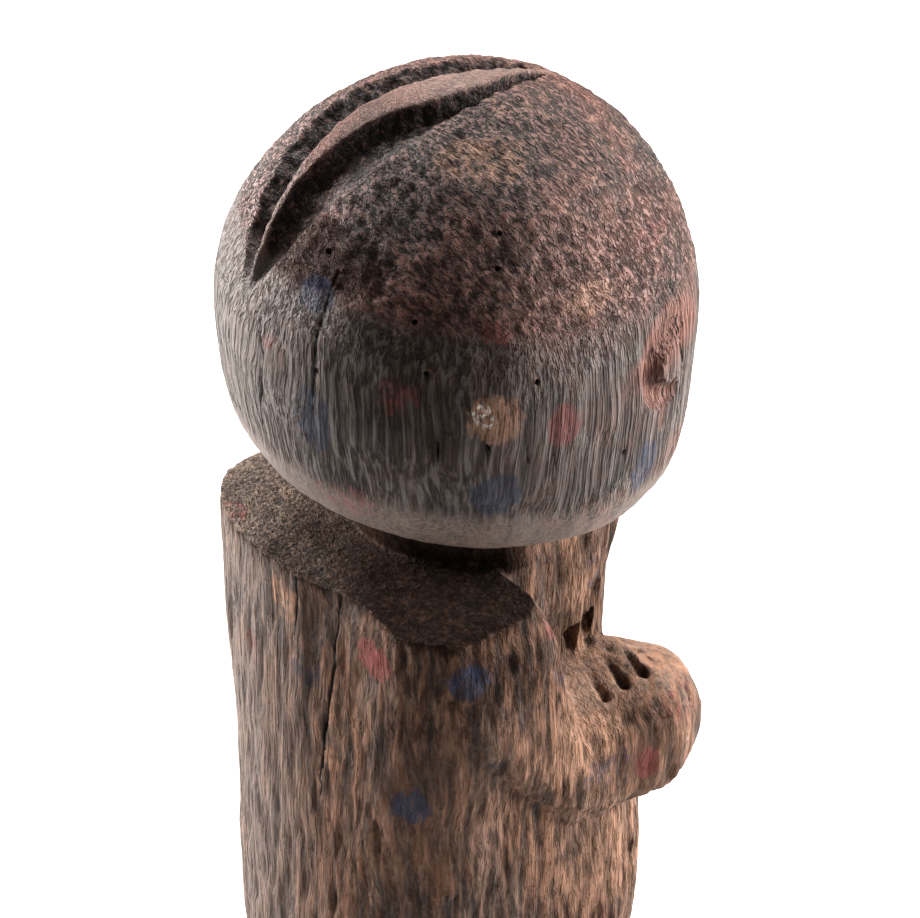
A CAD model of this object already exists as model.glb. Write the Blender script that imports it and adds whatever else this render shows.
"""Looks of the carved ancestor figure: old dry hardwood with open grain, cracks, borer holes and paint.

The log's grain runs along Z. Surfaces cut along it are streaked, and surfaces cut across it are
pitted, so one field of long fibres gives both. All lengths below are in millimetres unless a name
says otherwise.
"""

import math

import bmesh
import bpy
import numpy as np
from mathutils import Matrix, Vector
from mathutils.bvhtree import BVHTree


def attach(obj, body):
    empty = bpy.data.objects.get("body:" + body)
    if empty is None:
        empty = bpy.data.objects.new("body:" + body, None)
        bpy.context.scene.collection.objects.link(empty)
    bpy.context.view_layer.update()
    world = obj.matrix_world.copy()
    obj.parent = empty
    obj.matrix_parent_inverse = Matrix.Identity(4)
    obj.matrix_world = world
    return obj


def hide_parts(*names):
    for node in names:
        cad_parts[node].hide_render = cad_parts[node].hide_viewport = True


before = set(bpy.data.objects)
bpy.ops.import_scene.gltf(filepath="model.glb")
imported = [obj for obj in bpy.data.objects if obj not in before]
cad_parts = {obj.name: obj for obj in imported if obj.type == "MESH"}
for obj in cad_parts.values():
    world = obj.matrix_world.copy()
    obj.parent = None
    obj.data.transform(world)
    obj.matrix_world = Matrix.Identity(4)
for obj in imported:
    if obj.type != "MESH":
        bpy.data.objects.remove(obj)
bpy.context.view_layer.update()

bl_info = {
    "name": "Ancestor figure",
    "version": (1, 0, 0),
    "blender": (4, 5, 0),
    "location": "View3D > Sidebar > Figure",
    "description": "Carved ancestor figure in weathered hardwood, with its studio",
    "category": "Add Mesh",
}

MM = 0.001
NODE = "figure"
BODY = "root"

# The photograph's frame and the place its camera stood
PHOTO_WIDTH_PX = 920
PHOTO_HEIGHT_PX = 918
LENS_PX = 3400.0
SENSOR_WIDTH = 36.0
VIEW_AZIMUTH = 230.0
VIEW_ELEVATION = 36.0
HEAD_MIDDLE = Vector((0.0, -6.0, 479.0))
HEAD_MIDDLE_PX = (454.5, 304.0)
HEAD_PX_PER_MM = 3.03

# Heights on the figure that the surface changes at
SHELF_LEVEL = 400.0
FOOT_TOP = 40.0
HEAD_LOW = 408.0

# The lowest level that the photograph shows, and a distance from the axis clear of the figure
LOWEST_SEEN = 230.0
OUTSIDE = 300.0


def linear(hex_colour):
    """An sRGB hex value as linear red, green, blue and one."""
    channels = [int(hex_colour[i:i + 2], 16) / 255 for i in (1, 3, 5)]
    return [c / 12.92 if c <= 0.04045 else ((c + 0.055) / 1.055) ** 2.4 for c in channels] + [1.0]


def photo_camera():
    """Where the camera stands and its three axes, in millimetres."""
    azimuth = math.radians(VIEW_AZIMUTH)
    elevation = math.radians(VIEW_ELEVATION)
    level = math.cos(elevation)
    away = Vector((math.sin(azimuth) * level, -math.cos(azimuth) * level, math.sin(elevation)))
    right = (-away).cross(Vector((0, 0, 1))).normalized()
    up = right.cross(-away)
    depth = LENS_PX / HEAD_PX_PER_MM
    across = (HEAD_MIDDLE_PX[0] - PHOTO_WIDTH_PX / 2) / HEAD_PX_PER_MM
    above = (PHOTO_HEIGHT_PX / 2 - HEAD_MIDDLE_PX[1]) / HEAD_PX_PER_MM
    place = HEAD_MIDDLE + away * depth - right * across - up * above
    return place, right, up, away


def photo_ray(pixel):
    """The direction a pixel of the photograph looks in."""
    place, right, up, away = photo_camera()
    across = (pixel[0] - PHOTO_WIDTH_PX / 2) / LENS_PX
    above = (PHOTO_HEIGHT_PX / 2 - pixel[1]) / LENS_PX
    return place, (right * across + up * above - away).normalized()


# Paint dabs seen in the photograph: name, colour, middle, width and height in pixels, fullness
SEEN_DABS = (
    ("tan on the band", "tan", (495, 423), (60, 46), 1.0),
    ("lime in the tan dab", "lime", (482, 419), (30, 28), 1.0),
    ("pink on the band", "red", (565, 426), (35, 45), 1.0),
    ("blue low on the band", "blue", (496, 497), (56, 45), 1.0),
    ("dark red on the band", "red", (397, 399), (46, 40), 0.28),
    ("blue left on the band", "blue", (312, 422), (42, 58), 0.6),
    ("blue by the crack", "blue", (315, 295), (36, 48), 0.75),
    ("red at the dome's edge", "red", (498, 334), (36, 28), 0.42),
    ("pale blue at the right", "blue", (645, 467), (28, 52), 0.5),
    ("tan at the dome's right", "tan", (590, 300), (48, 44), 0.4),
    ("tan on the dome", "tan", (485, 165), (96, 64), 0.34),
    ("faint red on the dome", "red", (655, 235), (36, 40), 0.22),
    ("faint red at the left", "red", (270, 345), (22, 34), 0.2),
    ("pink under the head", "red", (347, 500), (60, 26), 0.3),
    ("red on the back", "red", (372, 660), (33, 41), 1.0),
    ("blue on the back", "blue", (470, 685), (52, 36), 1.0),
    ("blue low on the back", "blue", (409, 808), (46, 38), 1.0),
    ("tan on the back", "tan", (331, 758), (18, 32), 0.5),
    ("tan at the left shoulder", "tan", (282, 599), (30, 44), 0.4),
    ("faint red at the left side", "red", (251, 645), (14, 34), 0.25),
    ("pink on the left shoulder", "red", (229, 510), (18, 44), 0.3),
    ("faint blue on the back", "blue", (307, 671), (34, 34), 0.25),
    ("faint blue on the arm", "blue", (563, 672), (16, 22), 0.2),
    ("grey blue on the throat", "blue", (597, 566), (22, 34), 0.2),
    ("grey blue at the elbow", "blue", (606, 770), (40, 40), 0.2),
    ("red on the hand", "red", (648, 764), (27, 36), 0.9),
    ("rust on the hand", "red", (684, 700), (22, 60), 0.12),
    ("cream on the hand", "lime", (690, 734), (12, 16), 0.3),
)

# Borer holes seen in the photograph, in pixels
SEEN_HOLES = (
    (263, 388), (426, 375), (538, 383), (600, 394), (451, 430), (436, 454), (489, 452), (529, 457),
    (557, 462), (625, 453), (327, 250), (500, 232), (414, 322), (498, 268),
)
HOLE_RADIUS = 0.75

# Drying cracks seen in the photograph: half width in millimetres and the pixels they pass
SEEN_CRACKS = (
    (0.45, ((345, 257), (330, 290), (318, 330), (313, 370), (313, 420))),
    (0.25, ((262, 300), (262, 360), (264, 440))),
    (0.55, ((340, 592), (335, 640), (328, 700), (322, 740), (318, 800))),
    (0.30, ((297, 575), (294, 610), (293, 640))),
)

# Worn hollows seen in the photograph: middle and width and height in pixels
SEEN_HOLLOWS = (
    ((598, 585), (11, 22)),
    ((592, 622), (9, 24)),
    ((590, 641), (9, 12)),
    ((573, 580), (6, 18)),
    ((623, 662), (7, 7)),
    ((629, 669), (8, 7)),
    ((635, 676), (8, 7)),
    ((641, 683), (7, 6)),
    ((645, 650), (6, 6)),
    ((652, 658), (7, 6)),
    ((659, 666), (6, 6)),
    ((610, 672), (6, 8)),
    ((670, 716), (8, 10)),
    ((633, 845), (10, 26)),
    ((626, 880), (8, 22)),
    ((560, 700), (6, 22)),
    ((566, 790), (8, 26)),
)

# Broad dark stains seen in the photograph: middle, width and height in pixels, fullness
SEEN_STAINS = (
    ((320, 255), (130, 100), 1.0),
    ((300, 262), (90, 60), 1.0),
    ((430, 245), (200, 120), 0.30),
    ((350, 200), (110, 120), 0.40),
    ((662, 225), (70, 110), 0.30),
    ((425, 385), (190, 170), 0.34),
    ((500, 660), (120, 150), 0.45),
    ((400, 740), (150, 170), 0.26),
    ((455, 600), (210, 90), 0.47),
    ((590, 600), (80, 130), 0.34),
    ((640, 668), (110, 80), 0.34),
)

# Cracks on the sides the photograph doesn't show: half width, azimuth in degrees as the
# camera's is counted, wander in degrees, and lowest and highest level
HIDDEN_CRACKS = (
    (0.40, 118, 3, 440, 500),
    (0.35, 150, 2, 150, 262),
    (0.50, 62, 4, 160, 330),
    (0.30, 300, 2, 448, 512),
    (0.35, 20, 3, 130, 205),
    (0.35, 265, 2, 120, 190),
    (0.30, 205, 3, 45, 110),
    (0.30, 40, 2, 4, 38),
    (0.35, 170, 2, 2, 38),
)
HIDDEN_DABS = 34
HIDDEN_HOLES = 30

# The grain sways this far to each side over this length of the log
SWAY_WIDTH = 9.0
SWAY_LENGTH = 40.0

# The way the dome's wrinkles run, as turns about X, Y and Z
DOME_GRAIN_LEAN = (0.0, 0.96, 0.34)

# Dabs are drawn this much wider than they look, because their edges fade
DAB_SPREAD = 1.12

# How near to a hole or a crack the mesh is cut finer, and once more nearer to a hole
HOLE_FINE = (3.8, 2.6, 1.7)
CRACK_FINE = 1.6

# The head's own turn, nod and lean, as it is carved
HEAD_RADIUS = 81.0
HEAD_TURN = math.radians(6)
HEAD_NOD = math.radians(8.5)
CROWN_LEAN = 6.0
DOME_EDGE = 29.0
RIM_DROP = 39.0
FACE_TOP = 34.0
FACE_BOTTOM = -68.0
FACE_HALF_WIDTH = 51.0
EAR_ANGLE = math.radians(63)
EAR_RISE = 8.0
EAR_REACH = 24.0

# Middle line and half width of the crest's ridge, by degrees along the crown from the back
RIDGE_ALONG = (12, 24, 41, 58, 72, 85, 98, 108)
RIDGE_MIDDLE = (-7, -10, -15, -15, -9, -5, -5, -6)
RIDGE_HALF_WIDTH = (0.6, 1.4, 2.4, 6.0, 8.0, 6.0, 2.0, 0.6)


def noise(points, seed):
    """Smooth noise from about -1 to 1, one bump of it per unit."""
    draw = np.random.default_rng(seed)
    shuffle = draw.permutation(256)
    shuffle = np.concatenate([shuffle, shuffle])
    slopes = draw.normal(size=(256, 3))
    slopes /= np.linalg.norm(slopes, axis=1)[:, None]
    cell = np.floor(points).astype(np.int64)
    part = points - cell
    smooth = part ** 3 * (part * (part * 6 - 15) + 10)
    total = np.zeros(len(points))
    for corner in np.ndindex(2, 2, 2):
        key = (cell + corner) & 255
        index = shuffle[shuffle[shuffle[key[:, 0]] + key[:, 1]] + key[:, 2]]
        weight = np.prod(np.where(corner, smooth, 1 - smooth), axis=1)
        total += weight * np.einsum("ij,ij->i", slopes[index], part - corner)
    return total * 1.6


def step_up(values, low, high):
    """A smooth step from 0 at low to 1 at high."""
    share = np.clip((values - low) / (high - low), 0, 1)
    return share * share * (3 - 2 * share)


def between(values, low, high, soft):
    """One between low and high, falling to zero over a soft edge outside them."""
    return step_up(values, low - soft, low) * (1 - step_up(values, high, high + soft))


def head_frame(points):
    """Points as (right, back, rise) from the head's own middle, before its turn and nod."""
    across = HEAD_MIDDLE.x - points[:, 0]
    behind = points[:, 1] - HEAD_MIDDLE.y
    up = points[:, 2] - HEAD_MIDDLE.z
    right = across * math.cos(HEAD_TURN) + behind * math.sin(HEAD_TURN)
    set_back = behind * math.cos(HEAD_TURN) - across * math.sin(HEAD_TURN)
    rise = up.copy()
    for _ in range(5):
        above = np.maximum(rise, 0)
        lean = CROWN_LEAN * (above / HEAD_RADIUS) ** 2
        back = (set_back + above * math.sin(HEAD_NOD) + lean) / math.cos(HEAD_NOD)
        rise = (up - back * math.sin(HEAD_NOD)) / math.cos(HEAD_NOD)
    return right, back, rise


def zones(points, normals):
    """How much each point belongs to each kind of surface, from 0 to 1."""
    right, back, rise = head_frame(points)
    reach = np.sqrt(right ** 2 + back ** 2 + rise ** 2)
    level = points[:, 2]
    head = step_up(level, HEAD_LOW - 4, HEAD_LOW + 4)
    dome = step_up(rise, DOME_EDGE - 2, DOME_EDGE + 3)
    groove = dome * step_up(HEAD_RADIUS - reach, 0.9, 2.6)
    along = np.degrees(np.arctan2(rise, back))
    middle = np.interp(along, RIDGE_ALONG, RIDGE_MIDDLE)
    half_width = np.interp(along, RIDGE_ALONG, RIDGE_HALF_WIDTH)
    ridge = between(along, RIDGE_ALONG[0], RIDGE_ALONG[-1], 4)
    ridge = ridge * (1 - groove) * (1 - step_up(np.abs(right - middle), half_width, half_width + 2.5))
    crown = ridge * step_up(along, 56, 82)
    oval = (right / FACE_HALF_WIDTH) ** 2 + ((rise - (FACE_TOP + FACE_BOTTOM) / 2) * 2
                                            / (FACE_TOP - FACE_BOTTOM)) ** 2
    face = head * step_up(-back, 10, 30) * (1 - step_up(oval, 0.95, 1.15))
    round_reach = np.hypot(right, back)
    ahead = (EAR_ANGLE - np.arctan2(np.abs(right), -back)) * HEAD_RADIUS
    ear = step_up(EAR_REACH - np.hypot(ahead, rise - EAR_RISE), 0, 4)
    ear = ear * step_up(HEAD_RADIUS - round_reach, 0.9, 2.2)
    upward = normals[:, 2]
    under = head * step_up(-rise, RIM_DROP - 5, RIM_DROP + 2) * (1 - face)
    shelf = between(level, SHELF_LEVEL - 6, SHELF_LEVEL + 3, 3) * step_up(upward, 0.5, 0.8) * (1 - face)
    body = 1 - step_up(level, SHELF_LEVEL - 6, SHELF_LEVEL + 6)
    foot = 1 - step_up(level, FOOT_TOP, FOOT_TOP + 3)
    hand = between(level, 292, 352, 6) * step_up(np.hypot(points[:, 0], points[:, 1]), 68, 76)
    steep = 1 - step_up(np.abs(upward), 0.45, 0.7)
    neck = between(level, SHELF_LEVEL - 2, HEAD_LOW + 16, 2) * steep * step_up(points[:, 1], -12, 2)
    return {
        "level": level, "upward": upward, "head": head, "dome": dome * head, "groove": groove,
        "ridge": ridge, "crown": crown, "face": face, "ear": ear * head, "under": under,
        "neck": neck, "hand": hand, "shelf": shelf, "body": body, "foot": foot,
    }


def relief(points, normals, zone, settings):
    """How deep the worn grain lies below the carved surface, in millimetres."""
    wander = np.stack([noise(points / 60, 11), noise(points / 60, 12), np.zeros(len(points))], axis=1)
    bent = points + wander * 3.0
    coarse = noise(bent / (settings.fibre_width * 1.8, settings.fibre_width * 1.8, 26), 21)
    middle = noise(bent / (settings.fibre_width, settings.fibre_width, 13), 22)
    broad = noise(points / (22, 22, 60), 23)
    lumps = noise(points / 4.2, 24) * 0.6 + noise(points / 2.3, 26) * 0.5
    splits = noise(bent / (7, 7, 34), 25)
    strength = (
        0.5 * zone["head"] + 1.1 * zone["body"] + 0.3 * zone["dome"] + 0.8 * zone["groove"]
        + 0.25 * zone["shelf"] - 0.25 * zone["ridge"] - 0.2 * zone["under"] - 0.3 * zone["face"]
        - 0.35 * zone["foot"]
    )
    furrow = step_up(-coarse, -0.55, 0.75) ** 1.5 * 0.6 + step_up(-middle, -0.3, 0.7) ** 1.5 * 0.4
    wear = 0.5 - 0.5 * np.clip(broad, -1, 1)
    calm = 1 - 0.75 * zone["face"]
    lump_depth = 0.75 * zone["dome"] * (1 - 0.8 * zone["ridge"]) * step_up(-lumps, -0.5, 0.6)
    split_depth = 1.3 * zone["body"] * (1 - zone["foot"]) * (1 - zone["shelf"]) * step_up(splits, 0.42, 0.8)
    rubbed = zone["body"] * step_up(zone["upward"], 0.35, 0.75)
    grain = settings.grain_depth * np.maximum(strength * (1 - 0.65 * rubbed), 0.12) * furrow
    return grain + settings.wear_depth * wear * calm + lump_depth + split_depth


class Surface:
    """The carved solid, for finding where a pixel or a level and an azimuth land on it."""

    def __init__(self, solid):
        solid.data.calc_loop_triangles()
        points = [vertex.co / MM for vertex in solid.data.vertices]
        faces = [tuple(triangle.vertices) for triangle in solid.data.loop_triangles]
        self.tree = BVHTree.FromPolygons(points, faces)

    def under_pixel(self, pixel):
        """The point and normal that a pixel of the photograph shows."""
        place, direction = photo_ray(pixel)
        point, normal, _, _ = self.tree.ray_cast(place, direction)
        return point, normal

    def at_level(self, azimuth, level):
        """The outermost point at a level, at an azimuth round the log."""
        out = Vector((math.sin(math.radians(azimuth)), -math.cos(math.radians(azimuth)), 0))
        point, normal, _, _ = self.tree.ray_cast(out * OUTSIDE + Vector((0, 0, level)), -out)
        return point, normal

    def seen(self, point, normal):
        """Whether the photograph shows this point."""
        place, _, _, _ = photo_camera()
        return (place - point).normalized().dot(normal) > 0.1 and point.z > LOWEST_SEEN


def paint_dabs(surface):
    """Every dab, hollow and stain as (colour, middle, normal, half width, half height, fullness)."""
    dabs = []
    seen = [row[1:] for row in SEEN_DABS]
    seen += [("dark", middle, size, 1.0) for middle, size in SEEN_HOLLOWS]
    seen += [("stain",) + row for row in SEEN_STAINS]
    place, right, _, away = photo_camera()
    for colour, (x, y), (width, height), full in seen:
        middle, normal = surface.under_pixel((x, y))
        if middle is None:
            continue
        scale = (place - middle).dot(away) / LENS_PX
        facing = max(normal.dot(away), 0.35)
        slope = max(math.hypot(normal.x, normal.y), 0.2)
        sideways = Vector((-normal.y, normal.x, 0)).normalized()
        turned = max(abs(sideways.dot(right)), 0.45)
        tilt = max(facing / turned, 0.45)
        half_width = width * DAB_SPREAD * scale / 2 / turned
        half_height = height * DAB_SPREAD * scale / 2 / tilt * slope ** 0.2
        dabs.append((colour, middle, normal, half_width, half_height, full))
    draw = np.random.default_rng(5)
    colours = ("red", "blue", "tan", "red", "blue")
    made = 0
    while made < HIDDEN_DABS:
        azimuth, level, size = draw.uniform(0, 360), draw.uniform(60, 545), draw.uniform(5.0, 8.5)
        stretch = draw.uniform(0.8, 1.35)
        middle, normal = surface.at_level(azimuth, level)
        aside, back, rise = head_frame(np.array([middle]))
        on_face = abs(aside[0]) < FACE_HALF_WIDTH and back[0] < -40 and FACE_BOTTOM < rise[0] < FACE_TOP
        if surface.seen(middle, normal) or on_face:
            continue
        colour = colours[made % len(colours)]
        dabs.append((colour, middle, normal, size, size * stretch, draw.uniform(0.2, 1.0)))
        made += 1
    return dabs


def borer_holes(surface):
    """The middle and the direction of every borer hole."""
    holes = [surface.under_pixel(pixel) for pixel in SEEN_HOLES]
    draw = np.random.default_rng(8)
    made = 0
    while made < HIDDEN_HOLES:
        middle, normal = surface.at_level(draw.uniform(0, 360), draw.uniform(12, 540))
        if surface.seen(middle, normal):
            continue
        holes.append((middle, normal))
        made += 1
    return holes


def drying_cracks(surface):
    """Every crack as (half width, levels, azimuths in radians, distance from the axis)."""
    cracks = []
    for half_width, pixels in SEEN_CRACKS:
        found = [surface.under_pixel(pixel)[0] for pixel in pixels]
        found = sorted((point for point in found if point is not None), key=lambda point: point.z)
        levels = np.array([point.z for point in found])
        azimuths = np.unwrap(np.array([math.atan2(point.x, -point.y) for point in found]))
        reach = float(np.mean([math.hypot(point.x, point.y) for point in found]))
        cracks.append((half_width, levels, azimuths, reach))
    for number, (half_width, azimuth, wander, low, high) in enumerate(HIDDEN_CRACKS):
        levels = np.linspace(low, high, 9)
        sway = np.stack([levels / 24, np.full(9, 3.7 * number), np.zeros(9)], axis=1)
        azimuths = np.radians(azimuth + wander * noise(sway, 31))
        middle, _ = surface.at_level(azimuth, (low + high) / 2)
        cracks.append((half_width, levels, azimuths, math.hypot(middle.x, middle.y)))
    return cracks


def crack_distance(points, cracks):
    """Signed distance to the nearest crack and that crack's half width there."""
    side = np.full(len(points), 9.0)
    half = np.zeros(len(points))
    azimuth = np.arctan2(points[:, 0], -points[:, 1])
    reach = np.hypot(points[:, 0], points[:, 1])
    jitter = 0.9 * noise(points / (9, 9, 7), 41)
    for half_width, levels, azimuths, typical in cracks:
        inside = between(points[:, 2], levels[0], levels[-1], 2.0) > 0
        path = np.interp(points[:, 2], levels, azimuths)
        apart = (azimuth - path + math.pi) % (2 * math.pi) - math.pi
        away = apart * reach + jitter
        share = np.clip((points[:, 2] - levels[0]) / (levels[-1] - levels[0]), 0, 1)
        here = half_width * np.sin(math.pi * share) ** 0.5
        nearer = inside & (np.abs(away) < np.abs(side)) & (np.abs(reach - typical) < 9)
        side = np.where(nearer, away, side)
        half = np.where(nearer, here, half)
    return side, half


def hole_distance(points, holes):
    """Distance to the nearest borer hole's middle line."""
    nearest = np.full(len(points), 9.0)
    for middle, normal in holes:
        apart = points - np.array(middle)
        deep = apart @ np.array(normal)
        aside = np.sqrt(np.maximum((apart ** 2).sum(axis=1) - deep ** 2, 0))
        nearest = np.where((np.abs(deep) < 6) & (aside < nearest), aside, nearest)
    return nearest


def paint_cover(points, normals, dabs):
    """How far inside a dab, a hollow or a stain each point is: 1 in the middle, 0 at the edge."""
    kinds = ("tan", "lime", "red", "blue", "dark", "stain")
    cover = {colour: np.full(len(points), -1.0) for colour in kinds}
    for colour, middle, normal, half_width, half_height, full in dabs:
        apart = points - np.array(middle)
        rise = apart[:, 2]
        slope = max(math.hypot(normal.x, normal.y), 0.3)
        along = np.sqrt(np.maximum((apart ** 2).sum(axis=1) - (rise / slope) ** 2, 0))
        inside = 1 - np.sqrt((along / half_width) ** 2 + (rise / slope / half_height) ** 2)
        inside = np.where(normals @ np.array(normal) > 0.2, np.minimum(inside, full * 0.4), -1.0)
        cover[colour] = np.maximum(cover[colour], inside)
    return cover


def points_of(mesh):
    """A mesh's points in millimetres, and its normals."""
    points = np.empty(len(mesh.vertices) * 3)
    mesh.vertices.foreach_get("co", points)
    normals = np.empty(len(mesh.vertices) * 3)
    mesh.vertices.foreach_get("normal", normals)
    return points.reshape(-1, 3) / MM, normals.reshape(-1, 3)


def place_points(mesh, points):
    """Move a mesh's points to places given in millimetres."""
    mesh.vertices.foreach_set("co", (points * MM).ravel())
    mesh.update()


def applied(piece, *modifiers):
    """Give a piece modifiers, (kind, settings) each, and keep only their result."""
    for kind, settings in modifiers:
        modifier = piece.modifiers.new(kind.lower(), kind)
        for name, value in settings.items():
            setattr(modifier, name, value)
    bpy.context.view_layer.update()
    shaped = piece.evaluated_get(bpy.context.evaluated_depsgraph_get())
    mesh = bpy.data.meshes.new_from_object(shaped)
    piece.modifiers.clear()
    before = piece.data
    piece.data = mesh
    bpy.data.meshes.remove(before)
    return piece


def soften(mesh, share, rounds):
    """Blunt a mesh by moving each point toward its neighbours' middle, by its own share."""
    points, _ = points_of(mesh)
    ends = np.empty(len(mesh.edges) * 2, dtype=np.int64)
    mesh.edges.foreach_get("vertices", ends)
    here, there = np.concatenate([ends.reshape(-1, 2), ends.reshape(-1, 2)[:, ::-1]]).T
    count = np.maximum(np.bincount(here, minlength=len(points)), 1)
    for _ in range(rounds):
        sums = [np.bincount(here, weights=points[there, axis], minlength=len(points)) for axis in range(3)]
        points = points + share[:, None] * (np.stack(sums, axis=1) / count[:, None] - points)
    place_points(mesh, points)


def refine(mesh, wanted, cuts):
    """Cut the edges whose two ends are wanted into shorter ones."""
    shape = bmesh.new()
    shape.from_mesh(mesh)
    shape.verts.ensure_lookup_table()
    edges = [edge for edge in shape.edges if wanted[edge.verts[0].index] and wanted[edge.verts[1].index]]
    bmesh.ops.subdivide_edges(shape, edges=edges, cuts=cuts, use_grid_fill=True)
    bmesh.ops.triangulate(shape, faces=shape.faces)
    shape.to_mesh(mesh)
    shape.free()
    mesh.update()


def add(tree, kind, inputs=None, **settings):
    """Add a node with its settings. An input is a value, a node's first output, or an output."""
    node = tree.nodes.new(kind)
    for name, value in settings.items():
        setattr(node, name, value)
    for key, value in (inputs or {}).items():
        if isinstance(value, bpy.types.Node):
            tree.links.new(value.outputs[0], node.inputs[key])
        elif isinstance(value, bpy.types.NodeSocket):
            tree.links.new(value, node.inputs[key])
        else:
            node.inputs[key].default_value = value
    return node


# The sums that a material is worked out with: node, its settings, its inputs in order, its output
SUMS = {
    "times": ("ShaderNodeMath", {"operation": "MULTIPLY"}, (0, 1), 0),
    "plus": ("ShaderNodeMath", {"operation": "ADD"}, (0, 1), 0),
    "less": ("ShaderNodeMath", {"operation": "SUBTRACT"}, (0, 1), 0),
    "larger": ("ShaderNodeMath", {"operation": "MAXIMUM"}, (0, 1), 0),
    "unsigned": ("ShaderNodeMath", {"operation": "ABSOLUTE"}, (0,), 0),
    "ease": ("ShaderNodeMapRange", {"interpolation_type": "SMOOTHSTEP"}, (0, 1, 2, 3, 4), 0),
    "mix": ("ShaderNodeMix", {"data_type": "FLOAT"}, (0, 2, 3), 0),
    "coat": ("ShaderNodeMix", {"data_type": "RGBA"}, (0, 6, 7), 2),
    "shift": ("ShaderNodeVectorMath", {"operation": "ADD"}, (0, 1), 0),
    "centre": ("ShaderNodeVectorMath", {"operation": "SUBTRACT"}, (0, 1), 0),
    "stretch": ("ShaderNodeVectorMath", {"operation": "MULTIPLY"}, (0, 1), 0),
}


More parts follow.
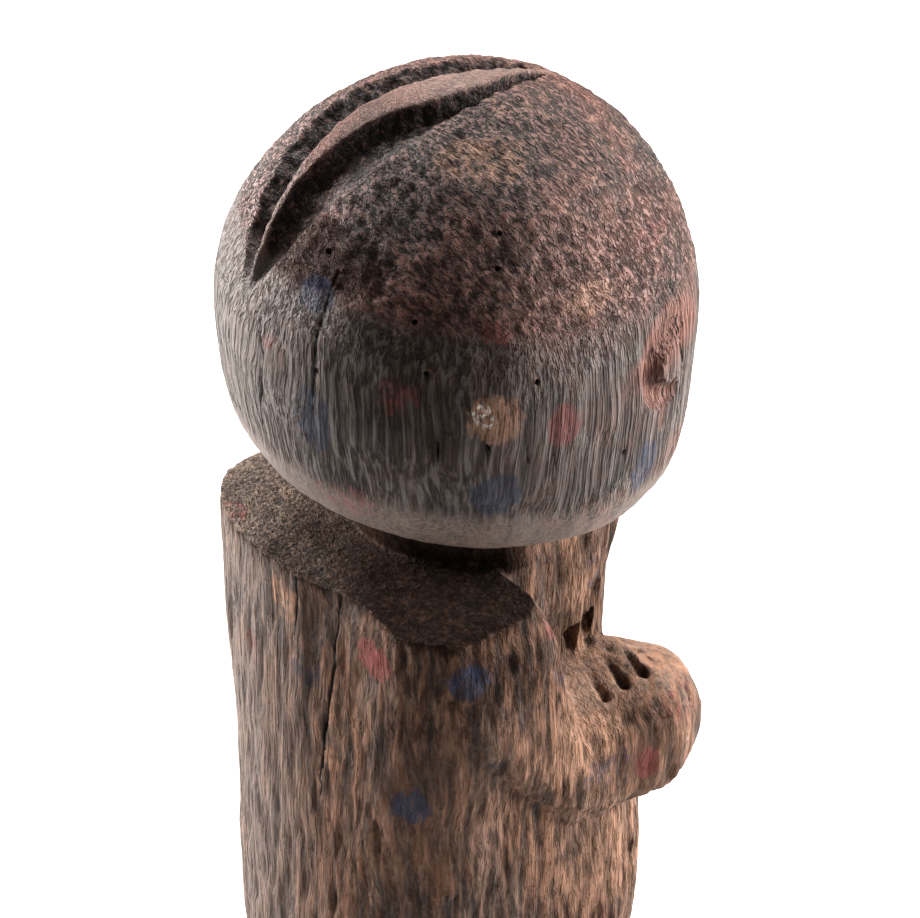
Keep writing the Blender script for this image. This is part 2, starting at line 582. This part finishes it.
def weathered_hardwood(settings):
    """Dense tropical hardwood, adzed, painted in dabs and left bare to age.

    No varnish is left, so it is matt, and only the hard proud fibres are rubbed to a dull gloss.
    Its soft fibres have worn away between the hard ones: long fine lines on the head's band, short
    ragged strands on the body, and lumps like old leather where the dome cuts across the grain.
    """
    material = bpy.data.materials.new("weathered_hardwood")
    material.use_nodes = True
    tree = material.node_tree
    shader = tree.nodes["Principled BSDF"]
    coords = add(tree, "ShaderNodeTexCoord")

    def made(kind, *values):
        """One of the sums above, from values, colours or other nodes' outputs."""
        node, choices, inputs, output = SUMS[kind]
        return add(tree, node, dict(zip(inputs, values)), **choices).outputs[output]

    place = made("stretch", coords.outputs["Object"], (1 / MM, 1 / MM, 1 / MM))
    sway = add(tree, "ShaderNodeTexNoise", {"Vector": place, "Scale": 1 / SWAY_LENGTH, "Detail": 1.0})
    sway = made("centre", sway.outputs["Color"], (0.5, 0.5, 0.5))
    sway = made("stretch", sway, (SWAY_WIDTH, SWAY_WIDTH, 0.0))
    bent = made("shift", place, sway)

    def grain(across, along, detail=2.0, rough=0.5, swirl=0.0, lean=(0.0, 0.0, 0.0)):
        """Noise drawn out along the log or a leaning line, by its bumps' two sizes in millimetres."""
        drawn = add(tree, "ShaderNodeMapping", {
            "Vector": bent, "Rotation": lean, "Scale": (across, across, along)}, vector_type="TEXTURE")
        return add(tree, "ShaderNodeTexNoise", {
            "Vector": drawn, "Scale": 1.0, "Detail": detail, "Roughness": rough, "Distortion": swirl,
        }).outputs["Fac"]

    def read(name):
        """The three values kept at each point under one name."""
        kept = add(tree, "ShaderNodeAttribute", attribute_name=name)
        return add(tree, "ShaderNodeSeparateXYZ", {0: kept.outputs["Vector"]}).outputs

    dust, tint, hollow = read("surface")
    head, dome, pitted = read("part")
    smooth, ochre, soot = read("finish")
    crack_side, crack_half, hole = read("damage")
    tan, red, blue = read("paint")
    grey, fine, lime = read("age")
    bend = add(tree, "ShaderNodeNewGeometry").outputs["Pointiness"]

    # Single fibres and pores are too fine to show, so these are bundles of them, in millimetres
    fibre = grain(1.5, 170, 1.5, 0.5)
    hair = grain(0.6, 30, 2.0, 0.5)
    strand = grain(2.0, 9, 4.0, 0.65, 0.3)
    streak = grain(4.0, 55, 3.0, 0.6)
    pore = grain(0.7, 6, 2.0, 0.6)
    grit = grain(1.2, 1.5, 3.0, 0.65)
    patch = grain(26, 60, 3.0, 0.6)
    stain = grain(60, 45, 4.0, 0.6)
    wrinkle = grain(1.35, 3.3, 3.0, 0.6, 0.4, DOME_GRAIN_LEAN)
    network = grain(2.4, 4.2, 2.0, 0.5, 0.8, DOME_GRAIN_LEAN)

    seam = made("ease", fibre, 0.53, 0.62)
    lines = made("mix", 0.40, made("ease", fibre, 0.42, 0.57), made("ease", hair, 0.42, 0.58))
    strands = made("mix", 0.14, made("ease", strand, 0.38, 0.58), made("ease", hair, 0.38, 0.62))
    strands = made("mix", made("times", fine, 0.65), strands, lines)
    crease = made("ease", made("unsigned", made("less", network, 0.50)), 0.0, 0.05, 0.3, 1.0)
    folds = made("times", made("ease", wrinkle, 0.38, 0.54), crease)
    raised = made("mix", head, strands, lines)
    raised = made("mix", dome, raised, folds)
    raised = made("mix", smooth, raised, 0.85)
    creased = made("ease", bend, 0.485, 0.43)
    proud = made("ease", bend, 0.515, 0.57)

    body_wood = made("coat", made("ease", streak, 0.36, 0.64), settings.heart_dark, settings.heart_brown)
    head_wood = made("coat", made("ease", streak, 0.34, 0.66), settings.head_dark, settings.head_brown)
    dome_wood = made("coat", made("ease", stain, 0.38, 0.60), settings.dome_dark, settings.dome_red)
    wood = made("coat", dome, made("coat", head, body_wood, head_wood), dome_wood)
    greyed = made("times", made("ease", patch, 0.50, 0.66), made("mix", dome, 0.25, 0.05))
    greyed = made("larger", greyed, made("times", grey, 0.78))
    wood = made("coat", greyed, wood, settings.worn_grey)
    rubbed = made("times", made("ease", strand, 0.52, 0.72), made("mix", head, 0.36, 0.10))
    wood = made("coat", rubbed, wood, settings.rubbed_tan)
    open_grain = made("less", 1.0, smooth)
    edges = made("times", made("times", seam, made("less", head, dome)), open_grain)
    wood = made("coat", made("times", edges, 0.45), wood, settings.worn_grey)
    ruddy = made("times", made("ease", stain, 0.42, 0.60), tint)
    wood = made("coat", ruddy, wood, made("coat", head, settings.warm_brown, settings.rust_brown))
    wood = made("coat", made("times", ochre, 0.75), wood, settings.ear_rust)
    tips = made("times", made("times", proud, open_grain), made("mix", dome, 0.3, 0.12))
    wood = made("coat", tips, wood, settings.rubbed_tan)
    loose = made("times", dust, made("ease", grit, 0.34, 0.60))
    wood = made("coat", loose, wood, settings.dust_colour)
    sunk = made("times", made("ease", hollow, 0.25, 0.9), 0.45)
    wood = made("coat", sunk, wood, settings.hollow_colour)
    grime = made("mix", dome, made("mix", fine, 0.66, 0.50), made("ease", tint, 0.45, 0.95, 0.85, 0.5))
    wood = made("coat", made("times", made("ease", raised, 0.45, 0.0), grime), wood, settings.hollow_colour)
    glints = made("times", made("times", made("ease", raised, 0.75, 1.0), dome), 0.40)
    wood = made("coat", glints, wood, settings.rubbed_red)
    wood = made("coat", made("times", creased, 0.6), wood, settings.hollow_colour)
    pits = made("times", pitted, made("ease", grit, 0.46, 0.60, 0.92, 0.15))
    wood = made("coat", pits, wood, settings.hollow_colour)
    sooty = made("times", soot, made("ease", grit, 0.36, 0.64, 1.0, 0.85))
    wood = made("coat", sooty, wood, settings.hollow_colour)

    ragged = made("times", made("less", grain(4.0, 5.5, 3.0, 0.6), 0.5), 0.7)
    off_pores = made("ease", pore, 0.34, 0.46, 0.5, 1.0)
    kept_paint = made("times", made("ease", raised, 0.0, 0.5, 0.3, 1.0), off_pores)
    flecks = made("ease", grain(1.3, 1.6, 4.0, 0.75), 0.50, 0.55)
    for cover, colour, strength in (
        (tan, settings.tan_paint, 0.80), (red, settings.red_paint, 0.72), (blue, settings.blue_paint, 0.82),
        (lime, settings.lime_paint, made("times", flecks, 0.95)),
    ):
        edge = made("ease", made("plus", cover, ragged), 0.0, 0.28, 0.0, strength)
        wood = made("coat", made("times", edge, kept_paint), wood, colour)

    uneven_half = made("times", crack_half, made("ease", pore, 0.3, 0.7, 0.5, 1.4))
    crack_gap = made("less", made("unsigned", crack_side), uneven_half)
    open_crack = made("ease", crack_gap, -0.12, 0.25, 1.0, 0.0)
    open_crack = made("times", open_crack, made("ease", crack_half, 0.02, 0.15))
    bored = made("ease", hole, HOLE_RADIUS * 0.75, HOLE_RADIUS * 1.25, 1.0, 0.0)
    dark = made("larger", open_crack, bored)
    wood = made("coat", dark, wood, settings.crack_colour)
    tree.links.new(wood, shader.inputs["Base Color"])

    rough = made("ease", raised, 0.0, 1.0, 0.92, 0.60)
    rough = made("larger", rough, made("times", dust, 0.92))
    tree.links.new(rough, shader.inputs["Roughness"])
    gloss = made("times", made("mix", head, 0.16, 0.34), made("less", 1.0, soot))
    tree.links.new(gloss, shader.inputs["Specular IOR Level"])

    tall = made("mix", dome, 1.5, 2.2)
    height = made("plus", made("times", raised, tall), made("times", pore, 0.30))
    height = made("plus", height, made("times", grit, made("plus", made("times", pitted, 1.1), 0.35)))
    height = made("plus", height, made("times", streak, 0.5))
    height = made("times", height, made("less", 1.0, made("times", smooth, 0.8)))
    height = made("less", height, made("times", dark, 1.4))
    bump = add(tree, "ShaderNodeBump", {
        "Height": height, "Strength": 1.0, "Distance": settings.fine_relief})
    tree.links.new(bump.outputs[0], shader.inputs["Normal"])
    return material


def keep(mesh, name, *values):
    """Store three values at each point of a mesh under one name."""
    stored = mesh.attributes.new(name, "FLOAT_VECTOR", "POINT")
    stored.data.foreach_set("vector", np.stack(values, axis=1).astype(np.float32).ravel())


def worn_mesh(piece, settings):
    """Make a fine mesh of the plain solid, blunt where it is worn, with its grain cut inward."""
    piece.data.materials.clear()
    coarse = 1.0
    applied(
        piece,
        ("REMESH", {"mode": "VOXEL", "voxel_size": settings.mesh_step * coarse, "use_smooth_shade": True}),
        ("SMOOTH", {"factor": 0.5, "iterations": 4}),
    )
    mesh = piece.data
    points, normals = points_of(mesh)
    zone = zones(points, normals)
    fingers = between(zone["level"], 322, 388, 6) * step_up(-points[:, 1], 44, 54) * (1 - zone["face"])
    blunt = np.clip(0.45 * zone["ear"] + 0.9 * fingers, 0, 0.9)
    soften(mesh, blunt, int(settings.worn_rounds / coarse ** 2))
    points, normals = points_of(mesh)
    zone = zones(points, normals)
    depth = relief(points, normals, zone, settings)
    hollow = np.clip(depth / (settings.grain_depth * 1.1), 0, 1)
    points = points - normals * depth[:, None]
    place_points(mesh, points)
    worn = mesh.attributes.new("hollow", "FLOAT", "POINT")
    worn.data.foreach_set("value", hollow.astype(np.float32))
    faces = sum(len(polygon.vertices) - 2 for polygon in mesh.polygons)
    if faces > settings.mesh_faces:
        share = settings.mesh_faces / faces
        applied(piece, ("DECIMATE", {"ratio": share, "use_collapse_triangulate": True}))
    return piece.data


def cut_damage(mesh, surface, settings):
    """Cut the cracks and holes inward, and give the uncut points and how near each is to them."""
    cracks = drying_cracks(surface)
    holes = borer_holes(surface)
    points, normals = points_of(mesh)
    side, half = crack_distance(points, cracks)
    near_hole = hole_distance(points, holes) < HOLE_FINE[0]
    refine(mesh, near_hole | ((np.abs(side) < CRACK_FINE) & (half > 0.1)), 1)
    for reach in HOLE_FINE[1:]:
        points, normals = points_of(mesh)
        refine(mesh, hole_distance(points, holes) < reach, 1)

    points, normals = points_of(mesh)
    side, half = crack_distance(points, cracks)
    bored = hole_distance(points, holes)
    cut = settings.crack_depth * half * np.exp(-(side / np.maximum(half, 0.45)) ** 2)
    pit = settings.hole_depth * (1 - step_up(bored, HOLE_RADIUS * 0.7, HOLE_RADIUS * 1.3))
    place_points(mesh, points - normals * np.maximum(cut, pit)[:, None])
    return points, normals, (side, half, bored)


def mark_surface(mesh, surface, points, normals, damage):
    """Keep at each point what its wood is like: dust, tint, wear, soot, damage, paint and age."""
    zone = zones(points, normals)
    cover = paint_cover(points, normals, paint_dabs(surface))
    hollow = np.empty(len(points))
    mesh.attributes["hollow"].data.foreach_get("value", hollow)
    _, photo_right, _, _ = photo_camera()
    across = points @ np.array(photo_right)
    left = step_up(-across, 20, 54)
    upward = step_up(normals[:, 2], 0.35, 0.9)
    patchy = 0.5 + 0.5 * np.clip(noise(points / 24, 51), -1, 1)
    dome_dust = zone["dome"] * (1 - zone["groove"]) * (0.08 + 0.16 * step_up(across, -25, 45)) * patchy
    dust = np.clip(
        0.04 * zone["crown"] + zone["shelf"] * left * 0.6 + dome_dust
        + 0.22 * zone["under"] + 0.16 * upward * zone["body"] * (1 - zone["shelf"]) + 0.05, 0, 1)
    tint = np.clip(0.12 + 0.3 * zone["dome"] + 0.55 * step_up(across, 0, 60), 0, 1)
    tint = tint * (1 - 0.7 * zone["face"]) * (1 - 0.8 * zone["ridge"]) * (1 - 0.6 * upward * zone["body"])
    tint = tint * (1 - 0.5 * zone["hand"])
    stain = 0.80 * step_up(cover["stain"] + 0.10 * noise(points / 14, 52), 0.0, 0.32)
    soot = np.clip(0.9 * zone["shelf"] * (1 - left), 0, 1)
    for more in (0.9 * zone["neck"], 0.4 * zone["ridge"] * (1 - 0.65 * zone["crown"]), stain,
                 step_up(cover["dark"], -0.1, 0.35)):
        soot = np.maximum(soot, more)
    smooth = np.clip(
        0.5 * zone["ridge"] + 0.85 * zone["under"] + 0.85 * zone["face"] + 0.35 * zone["hand"]
        + 0.3 * stain * zone["dome"] + 0.5 * upward * zone["body"] * (1 - zone["shelf"])
        + 0.5 * zone["foot"], 0, 0.9)
    grey = np.clip(0.8 * step_up(-across, 34, 68) + 0.6 * zone["crown"], 0, 1) * (1 - 0.5 * zone["face"])
    fine = step_up(-across, 15, 50) * (1 - zone["head"])
    pitted = np.maximum(zone["groove"], 0.7 * zone["shelf"])
    keep(mesh, "surface", dust, tint, hollow)
    keep(mesh, "part", zone["head"], zone["dome"], pitted)
    keep(mesh, "finish", smooth, zone["ear"], soot)
    keep(mesh, "damage", *damage)
    keep(mesh, "paint", cover["tan"], cover["red"], cover["blue"])
    keep(mesh, "age", grey, fine, cover["lime"])


def carve_figure(settings):
    """Make the figure's weathered surface from the plain solid."""
    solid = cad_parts[NODE]
    surface = Surface(solid)
    piece = bpy.data.objects.new("weathered_figure", solid.data.copy())
    bpy.context.scene.collection.objects.link(piece)
    mesh = worn_mesh(piece, settings)
    points, normals, damage = cut_damage(mesh, surface, settings)
    mark_surface(mesh, surface, points, normals, damage)
    mesh.shade_smooth()
    mesh.materials.append(weathered_hardwood(settings))
    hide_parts(NODE)
    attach(piece, BODY)


def soft_box(name, out, level, size, power, aim):
    """One square studio lamp behind a diffuser, facing the figure."""
    lamp = bpy.data.lights.new(name, "AREA")
    lamp.shape = "SQUARE"
    lamp.size = size
    lamp.energy = power
    place = Vector((out.x, out.y, level))
    holder = bpy.data.objects.new(name, lamp)
    holder.location = place
    holder.rotation_euler = (aim - place).to_track_quat("-Z", "Y").to_euler()
    bpy.context.scene.collection.objects.link(holder)


def studio_floor(settings):
    """Matt pale grey studio board, which the lamps light up to an even, nearly white ground."""
    reach = settings.floor_size / 2
    shape = bmesh.new()
    signs = ((-1, -1), (1, -1), (1, 1), (-1, 1))
    shape.faces.new([shape.verts.new((x * reach, y * reach, 0.0)) for x, y in signs])
    mesh = bpy.data.meshes.new("studio_floor")
    shape.to_mesh(mesh)
    shape.free()
    floor = bpy.data.objects.new("studio_floor", mesh)
    bpy.context.scene.collection.objects.link(floor)
    material = bpy.data.materials.new("matt_pale_board")
    material.use_nodes = True
    shader = material.node_tree.nodes["Principled BSDF"]
    shader.inputs["Base Color"].default_value = settings.floor_colour
    shader.inputs["Roughness"].default_value = 0.9
    shader.inputs["Specular IOR Level"].default_value = 0.1
    mesh.materials.append(material)


def studio(settings):
    """The floor, the even room light, the soft boxes and the camera at the photograph's angle."""
    studio_floor(settings)
    world = bpy.data.worlds.new("even_room_light")
    world.use_nodes = True
    background = world.node_tree.nodes["Background"]
    background.inputs["Color"].default_value = settings.room_colour
    path = add(world.node_tree, "ShaderNodeLightPath")
    strength = add(world.node_tree, "ShaderNodeMix", {
        0: path.outputs["Is Camera Ray"], 2: settings.room_light, 3: 1.0})
    world.node_tree.links.new(strength.outputs[0], background.inputs["Strength"])
    bpy.context.scene.world = world

    place, right, up, away = photo_camera()
    aim = Vector((0.0, 0.0, 0.42))
    back = -Vector((away.x, away.y, 0)).normalized()
    for name, side, far, level, power in (
        # name, side, metres beyond the figure, metres above the floor, power
        ("left_soft_box", -1, 0.62, 0.75, settings.left_lamp),
        ("right_soft_box", 1, 0.25, 0.70, settings.right_lamp),
        ("top_soft_box", 0, 0.75, 1.45, settings.top_lamp),
    ):
        out = right * side * settings.lamp_distance + back * far
        soft_box(name, out, level, settings.lamp_size, power, aim)

    lens = bpy.data.cameras.new("photo_camera")
    lens.sensor_width = SENSOR_WIDTH
    lens.lens = LENS_PX / PHOTO_WIDTH_PX * SENSOR_WIDTH
    camera = bpy.data.objects.new("photo_camera", lens)
    camera.location = place * MM
    camera.rotation_euler = (-away).to_track_quat("-Z", "Y").to_euler()
    bpy.context.scene.collection.objects.link(camera)
    bpy.context.scene.camera = camera
    bpy.context.scene.view_settings.view_transform = "Standard"


def colour(name, description, value):
    """A colour that a user may change."""
    return bpy.props.FloatVectorProperty(
        name=name, description=description, subtype="COLOR", size=4, min=0.0, max=1.0,
        default=linear(value))


def length(name, description, millimetres):
    """A length that a user may change, given in millimetres."""
    return bpy.props.FloatProperty(
        name=name, description=description, unit="LENGTH", subtype="DISTANCE", default=millimetres * MM)


def number(name, description, value, **more):
    """A number that a user may change."""
    return bpy.props.FloatProperty(name=name, description=description, default=value, **more)


def count(name, description, value):
    """A whole number that a user may change."""
    return bpy.props.IntProperty(name=name, description=description, default=value)


class FIGURE_PG_carving(bpy.types.PropertyGroup):
    """Sizes and colours of the carved figure's surface."""

    mesh_step: length("Mesh step", "Spacing of the fine mesh", 0.95)
    mesh_faces: count("Mesh faces", "Triangles the mesh is thinned to", 160000)
    worn_rounds: count("Worn rounds", "How blunt the ears and fingers are", 48)
    fibre_width: number("Fibre width", "Width of a worn fibre in millimetres", 2.0)
    grain_depth: number("Grain depth", "Depth of the open grain in millimetres", 1.2)
    wear_depth: number("Wear depth", "Depth of broad wear in millimetres", 0.6)
    crack_depth: number("Crack depth", "Depth of a wide crack in millimetres", 2.6)
    hole_depth: number("Hole depth", "Depth of a borer hole in millimetres", 2.4)
    fine_relief: length("Fine relief", "Height of the finest grain", 0.90)
    heart_dark: colour("Dark heartwood", "Dark fibres of the body", "#38251b")
    heart_brown: colour("Brown heartwood", "Light fibres of the body", "#754f3a")
    head_dark: colour("Dark head wood", "Dark fibres of the head", "#281f1c")
    head_brown: colour("Brown head wood", "Light fibres of the head", "#4a3932")
    worn_grey: colour("Worn grey", "Rubbed, greyed wood", "#79706b")
    rubbed_tan: colour("Rubbed tan", "Proud strands rubbed pale", "#8b6550")
    rubbed_red: colour("Rubbed red", "Proud lumps of the dome", "#85584a")
    dome_dark: colour("Dark dome wood", "Dark patches of the dome", "#33241f")
    dome_red: colour("Red dome wood", "Red brown patches of the dome", "#74493d")
    warm_brown: colour("Warm brown", "Bare wood on the right of the body", "#a67b61")
    rust_brown: colour("Rust brown", "Old red stain", "#6c4034")
    ear_rust: colour("Ear rust", "Red ochre left in the ears", "#7a4839")
    dust_colour: colour("Dust", "Settled dust", "#9c8370")
    hollow_colour: colour("Hollows", "Grime in worn hollows", "#1a1310")
    crack_colour: colour("Cracks", "Inside of cracks and borer holes", "#0b0807")
    lime_paint: colour("Lime paint", "White of burnt lime", "#d6ccc2")
    tan_paint: colour("Tan paint", "Tan dabs", "#9c7259")
    red_paint: colour("Red paint", "Red ochre dabs", "#7c3c38")
    blue_paint: colour("Blue paint", "Blue dabs", "#242d42")


class FIGURE_PG_studio(bpy.types.PropertyGroup):
    """Sizes, colours and powers of the studio."""

    floor_size: length("Floor size", "Width of the floor", 3200)
    floor_colour: colour("Floor colour", "Studio board", "#cbcac8")
    room_colour: colour("Room colour", "Even light of the room", "#ffffff")
    room_light: number("Room light", "Strength of the even light", 0.33)
    lamp_distance: length("Lamp distance", "From the figure to the side lamps", 1100)
    lamp_size: length("Lamp size", "Width of each soft box", 700)
    left_lamp: number("Left lamp", "Left soft box", 66, unit="POWER")
    right_lamp: number("Right lamp", "Right soft box", 50, unit="POWER")
    top_lamp: number("Top lamp", "Top soft box", 26, unit="POWER")


class FIGURE_OT_carving(bpy.types.Operator):
    """Carve the figure's weathered surface"""

    bl_idname = "figure.carving"
    bl_label = "Carved figure"

    def execute(self, context):
        carve_figure(context.scene.figure_carving)
        return {"FINISHED"}


class FIGURE_OT_studio(bpy.types.Operator):
    """Set up the floor, the lights and the camera"""

    bl_idname = "figure.studio"
    bl_label = "Studio"

    def execute(self, context):
        studio(context.scene.figure_studio)
        return {"FINISHED"}


class FIGURE_PT_panel(bpy.types.Panel):
    """The figure's operators and settings"""

    bl_idname = "FIGURE_PT_panel"
    bl_label = "Ancestor figure"
    bl_space_type = "VIEW_3D"
    bl_region_type = "UI"
    bl_category = "Figure"

    def draw(self, context):
        for group, operator in (("figure_carving", "figure.carving"), ("figure_studio", "figure.studio")):
            box = self.layout.box()
            settings = getattr(context.scene, group)
            for name in settings.bl_rna.properties.keys():
                if name not in ("rna_type", "name"):
                    box.prop(settings, name)
            box.operator(operator)


CLASSES = (FIGURE_PG_carving, FIGURE_PG_studio, FIGURE_OT_carving, FIGURE_OT_studio, FIGURE_PT_panel)


def register():
    for kind in CLASSES:
        bpy.utils.register_class(kind)
    bpy.types.Scene.figure_carving = bpy.props.PointerProperty(type=FIGURE_PG_carving)
    bpy.types.Scene.figure_studio = bpy.props.PointerProperty(type=FIGURE_PG_studio)


def unregister():
    del bpy.types.Scene.figure_studio
    del bpy.types.Scene.figure_carving
    for kind in reversed(CLASSES):
        bpy.utils.unregister_class(kind)


def main():
    """Register the add-on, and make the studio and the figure."""
    register()
    bpy.ops.figure.studio()
    bpy.ops.figure.carving()


if __name__ == "__main__":
    main()
